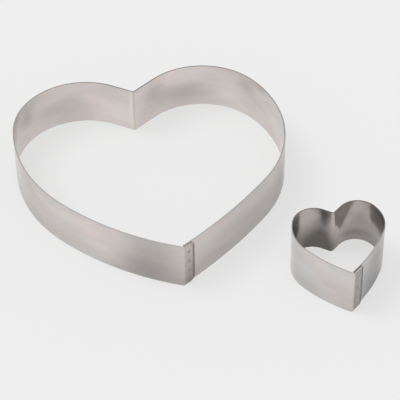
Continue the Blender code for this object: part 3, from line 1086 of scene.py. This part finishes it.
# %% [markdown]
# ## Weld faces
# A weld face is the dullest steel here. The electrode pressed it flat while it was red hot, so it is
# grey-brown and pitted, and slightly paler towards its rim, where it was cooler. Its pits read Object
# coordinates, because the welds are loose solids that have no place on the strip's map.

# %% Material of the welds
WELD_MIDDLE, WELD_RIM, WELD_PITS = "#ADA198", "#C3B9B3", "#7A706B"
PIT_SIZE = 0.0005  # real pits are finer, and wouldn't show
PIT_RANGE = (0.4, 0.7)  # of the noise, from no pit to a full one
PIT_SHARE = 0.4  # of the pits' colour in a full pit
RIM_STARTS, RIM_ENDS = 0.35, 0.95  # shares of the radius
WELD_ROUGHNESS = (0.35, 0.6)
WELD_DEPTH = 0.00004
WELD_STRENGTH = 0.4


def weld_steel():
    """Steel pressed flat while red hot: grey-brown, finely pitted, and hardly a mirror at all."""
    material, tree = new_material("spot_welded_steel")
    place = add_node(tree, "ShaderNodeTexCoord")["Object"]
    settings = {"Vector": place, "Scale": 1.0 / PIT_SIZE, "Detail": 3.0}
    pits = add_node(tree, "ShaderNodeTexNoise", settings)[0]
    out = add_node(tree, "ShaderNodeAttribute", attribute_name="rim")["Fac"]
    ends = {"Value": out, "From Min": RIM_STARTS, "From Max": RIM_ENDS}
    rim = add_node(tree, "ShaderNodeMapRange", ends, interpolation_type="SMOOTHSTEP")[0]
    colours = {0: rim, COLOUR_A: linear(WELD_MIDDLE), COLOUR_B: linear(WELD_RIM)}
    colour = add_node(tree, "ShaderNodeMix", colours, data_type="RGBA")[MIXED]
    ends = {"From Min": PIT_RANGE[0], "From Max": PIT_RANGE[1], "To Max": PIT_SHARE}
    share = add_node(tree, "ShaderNodeMapRange", {"Value": pits, **ends})[0]
    colours = {0: share, COLOUR_A: colour, COLOUR_B: linear(WELD_PITS)}
    colour = add_node(tree, "ShaderNodeMix", colours, data_type="RGBA")[MIXED]
    ends = dict(zip(("To Min", "To Max"), WELD_ROUGHNESS))
    roughness = add_node(tree, "ShaderNodeMapRange", {"Value": pits, **ends})[0]
    add_metal(tree, colour, roughness, pits, WELD_STRENGTH, WELD_DEPTH)
    return material


WELD_STEEL = weld_steel()
print(WELD_STEEL.name, "has", len(WELD_STEEL.node_tree.nodes), "nodes")

# %% [markdown]
# ## From a surface to a sheet
# The swept surface has no thickness yet. Solidify gives it one, half to either side, with the inside's steel
# on the second face and sheared steel on the narrow ones. Bevel then breaks the sharp edges, as a maker does
# with a file, so that they catch a thin line of light. Both keep the strip's map and marks on every face
# that they make, which a Geometry Nodes tree would have to be told step by step.

# %% Thickness


def thickened(band, ring):
    """The sheet with its real thickness and broken edges, as a plain mesh."""
    band.data.materials.append(SATIN_STEEL[ring.name, "inside"])
    band.data.materials.append(SHEARED_STEEL[ring.name])
    sheet = band.modifiers.new("sheet", "SOLIDIFY")
    sheet.thickness = SHEET
    sheet.offset = 0.0
    sheet.use_even_offset = True
    sheet.use_quality_normals = True
    sheet.material_offset = 1
    sheet.material_offset_rim = 2
    edges = band.modifiers.new("broken_edges", "BEVEL")
    edges.width = EDGE_BREAK
    edges.segments = 2
    edges.limit_method = "ANGLE"
    edges.harden_normals = True
    return plain(band)


# %% [markdown]
# ## Film, painted shade and painted light
# How dull a point is, and how much painted shade and light it holds, depends on its place on the strip: a
# film all over, painted shade added or taken away towards the foot, and the patches of the finish, which are
# partly film and partly painted shade and light. Once a band is a plain mesh, this is a short sum over all
# its points, and it is stored once each for the outside, the inside and the rim, where the materials read it.

# %% Dullness and painted shade
FOOT_REACH = 0.040  # up from the lower edge, where the painted shade at the foot fades out


def fall(distance):
    """A smooth fall from 1 at no distance to 0 at a distance of 1."""
    left = np.clip(1.0 - distance, 0.0, 1.0)
    return left * left * (3.0 - 2.0 * left)


def add_dullness(band, ring):
    """Stores each point's film with painted shade and light, once for each finish of the ring."""
    mesh = band.data
    from_end = np.empty(len(mesh.vertices))
    mesh.attributes["along"].data.foreach_get("value", from_end)
    places = np.empty(3 * len(mesh.vertices))
    mesh.vertices.foreach_get("co", places)
    high = places[2::3]
    for side, finish in (("outside", ring.outside), ("inside", ring.inside), ("rim", ring.rim)):
        dull = finish.film + finish.foot * fall(high / FOOT_REACH)
        for patch in finish.patches:
            beside = (from_end - patch.along) / patch.half_length
            above = (high - patch.high) / patch.half_height
            dull += patch.share * fall(np.hypot(beside, above))
        values = mesh.attributes.new(f"dull_{side}", "FLOAT", "POINT")
        values.data.foreach_set("value", np.clip(dull, 0.0, 1.0))
        print(f"  {ring.name} {side}: dullness {dull.min():.2f} to {dull.max():.2f}, kept from 0 to 1")


# %% [markdown]
# ## Making both rings
# Everything is ready, so one function makes a band and one its welds. Each piece is a plain mesh that stands
# at the origin, with its place in its points. It rides on its ring's body, so that it moves with it, and it
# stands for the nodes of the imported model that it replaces. The boxes that are printed tell whether it fits
# them.

# %% Bands and welds


def add_band(ring):
    """The ring's band, and the guide to its welds."""
    points, cleft = placed_path(ring)
    path = path_guide(ring, points)
    welds = weld_guide(ring, points)
    band = made_by(
        STRIP_TREE,
        f"{ring.name}_ring_band",
        Path=path,
        Welds=welds,
        Cleft=(cleft.real, cleft.imag, 0.0),
        Height=BAND_HEIGHT,
        Rows=ROWS,
        Lap=ring.lap,
        Lap_flat=ring.lap - LAP_STEP,
        Lap_drop=LAP_DROP,
        Top_corner=ring.top_corner,
        Bottom_corner=ring.bottom_corner,
        Weld_radius=ring.weld_radius,
        Weld_dent=WELD_DENT,
        Wave_seed=ring.wave_seed,
        Lap_stain=ring.lap_stain,
        Steel=SATIN_STEEL[ring.name, "outside"],
    )
    band = thickened(band, ring)
    add_dullness(band, ring)
    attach(band, f"{ring.name}_ring")
    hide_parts(f"{ring.name}_band")
    bpy.data.objects.remove(path)
    return band, welds


def add_welds(ring, guide):
    """The ring's welds, as one piece, long enough to show in the dents on both sides."""
    length = 2.0 * SHEET + LAP_GAP - 2.0 * WELD_DENT + 2.0 * WELD_PROUD
    welds = made_by(
        WELD_TREE,
        f"{ring.name}_ring_welds",
        Welds=guide,
        Radius=ring.weld_radius,
        Length=length,
        Hollow=WELD_HOLLOW,
        Steel=WELD_STEEL,
    )
    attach(welds, f"{ring.name}_ring")
    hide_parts(*weld_nodes(ring))
    bpy.data.objects.remove(guide)
    return welds


def box_of(piece):
    corners = [vertex.co for vertex in piece.data.vertices]
    return [Vector([pick(corner[i] for corner in corners) for i in range(3)]) for pick in (min, max)]


for ring in (LARGE, SMALL):
    band, guide = add_band(ring)
    welds = add_welds(ring, guide)
    for piece in (band, welds):
        low, high = box_of(piece)
        triangles = sum(len(face.vertices) - 2 for face in piece.data.polygons)
        print(piece.name, triangles, "triangles, mm:", [round(1000.0 * side, 2) for side in high - low])
    low, high = box_of(band)
    packed_low, packed_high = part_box(f"{ring.name}_band")
    off = [round(1000.0 * side, 3) for side in (*(low - packed_low), *(high - packed_high))]
    print("  off the packed band's corners, mm:", off)

# %% [markdown]
# ## Floor
# The floor is plain, pale and matt. Steel shows its surroundings more than itself, and from this height the
# walls of the rings show the floor close by, so the light on the floor shapes them. To the camera and in
# reflections, most of the floor's tone glows by itself, at the strength of its own colour. That keeps it
# even, and leaves the shadows of the rings on it soft and faint.

# %% Floor
FLOOR_SIDE = 14.0
FLOOR_DROP = 0.0001  # below the rings' lower edges, so that the two don't share a plane
FLOOR_COLOUR = "#EEEEEE"
FLOOR_GLOW = 0.7  # share of the floor's colour that shadows don't reach


def add_floor():
    mesh = bpy.data.meshes.new("floor")
    half = FLOOR_SIDE / 2.0
    corners = [(x * half, y * half, -FLOOR_DROP) for x, y in ((-1, -1), (1, -1), (1, 1), (-1, 1))]
    mesh.from_pydata(corners, [], [(0, 1, 2, 3)])
    floor = put_in_scene("floor", mesh)
    material, tree = new_material("matt_pale_floor")
    matt = add_node(tree, "ShaderNodeBsdfDiffuse", {"Color": linear(FLOOR_COLOUR)})
    pale = add_node(tree, "ShaderNodeEmission", {"Color": linear(FLOOR_COLOUR), "Strength": 1.0})
    rays = add_node(tree, "ShaderNodeLightPath")
    seen = rays["Is Camera Ray"]
    for kind in ("Is Glossy Ray", "Is Transmission Ray"):
        seen = add_node(tree, "ShaderNodeMath", {0: seen, 1: rays[kind]}, operation="MAXIMUM")[0]
    share = add_node(tree, "ShaderNodeMath", {0: seen, 1: FLOOR_GLOW}, operation="MULTIPLY")[0]
    surface = add_node(tree, "ShaderNodeMixShader", {0: share, 1: matt[0], 2: pale[0]})
    add_node(tree, "ShaderNodeOutputMaterial", {"Surface": surface[0]})
    mesh.materials.append(material)
    floor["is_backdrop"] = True
    return floor


floor = add_floor()
print(floor.name, "is", FLOOR_SIDE, "m wide")

# %% [markdown]
# ## Room and lamps
# The room is pale at the horizon and darker overhead, which the upward edges of the rings pick up as thin
# dark lines. A soft key lamp from the left, slightly behind the rings, leaves the walls on the right and at
# the tip facing a slightly darker floor. A broad fill from the front evens that out. Both are Sun lamps,
# because a studio lamp far away lights both rings alike, and the angle of a Sun is all that sets how soft
# its shadows are.

# %% Room and lamps
PALE_BELOW, DARK_ABOVE = 0.08, 0.55  # heights in the sky, as the sine of their angle


def add_room(horizon, overhead):
    world = bpy.data.worlds.new("room")
    world.use_nodes = True
    tree = world.node_tree
    tree.nodes.clear()
    direction = add_node(tree, "ShaderNodeTexCoord")["Generated"]
    rise = add_node(tree, "ShaderNodeSeparateXYZ", {0: direction})["Z"]
    ends = {"Value": rise, "From Min": PALE_BELOW, "From Max": DARK_ABOVE}
    share = add_node(tree, "ShaderNodeMapRange", ends, interpolation_type="SMOOTHSTEP")[0]
    colours = {0: share, COLOUR_A: linear(horizon), COLOUR_B: linear(overhead)}
    colour = add_node(tree, "ShaderNodeMix", colours, data_type="RGBA")[MIXED]
    light = add_node(tree, "ShaderNodeBackground", {"Color": colour, "Strength": 1.0})
    add_node(tree, "ShaderNodeOutputWorld", {"Surface": light[0]})
    bpy.context.scene.world = world


def add_lamp(name, place, share, spread):
    """A soft lamp far off in the direction of a place, which gives the floor this share of full white."""
    data = bpy.data.lights.new(name, "SUN")
    data.angle = math.radians(spread)
    towards = Vector(place).normalized()
    data.energy = share * math.pi / towards.z
    lamp = put_in_scene(name, data)
    lamp.matrix_world = towards.to_track_quat("Z", "Y").to_matrix().to_4x4()
    print(f"Lamp {name}: strength {data.energy:.2f}, {spread:.0f} degrees wide")


add_room(horizon="#EEEEEE", overhead="#C8C8C8")
add_lamp("key", place=(-1.0, 0.3, 1.6), share=0.26, spread=32.0)
add_lamp("fill", place=(0.2, -0.5, 1.5), share=0.14, spread=60.0)
bpy.context.scene.view_settings.view_transform = "Standard"

# %% [markdown]
# ## The size at the end
# The dressed rings should be as large as the imported ones, and their overall size is printed.

# %% Sizes and the end
low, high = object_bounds()
print("Dressed rings, mm:", [round(1000.0 * side, 2) for side in high - low])
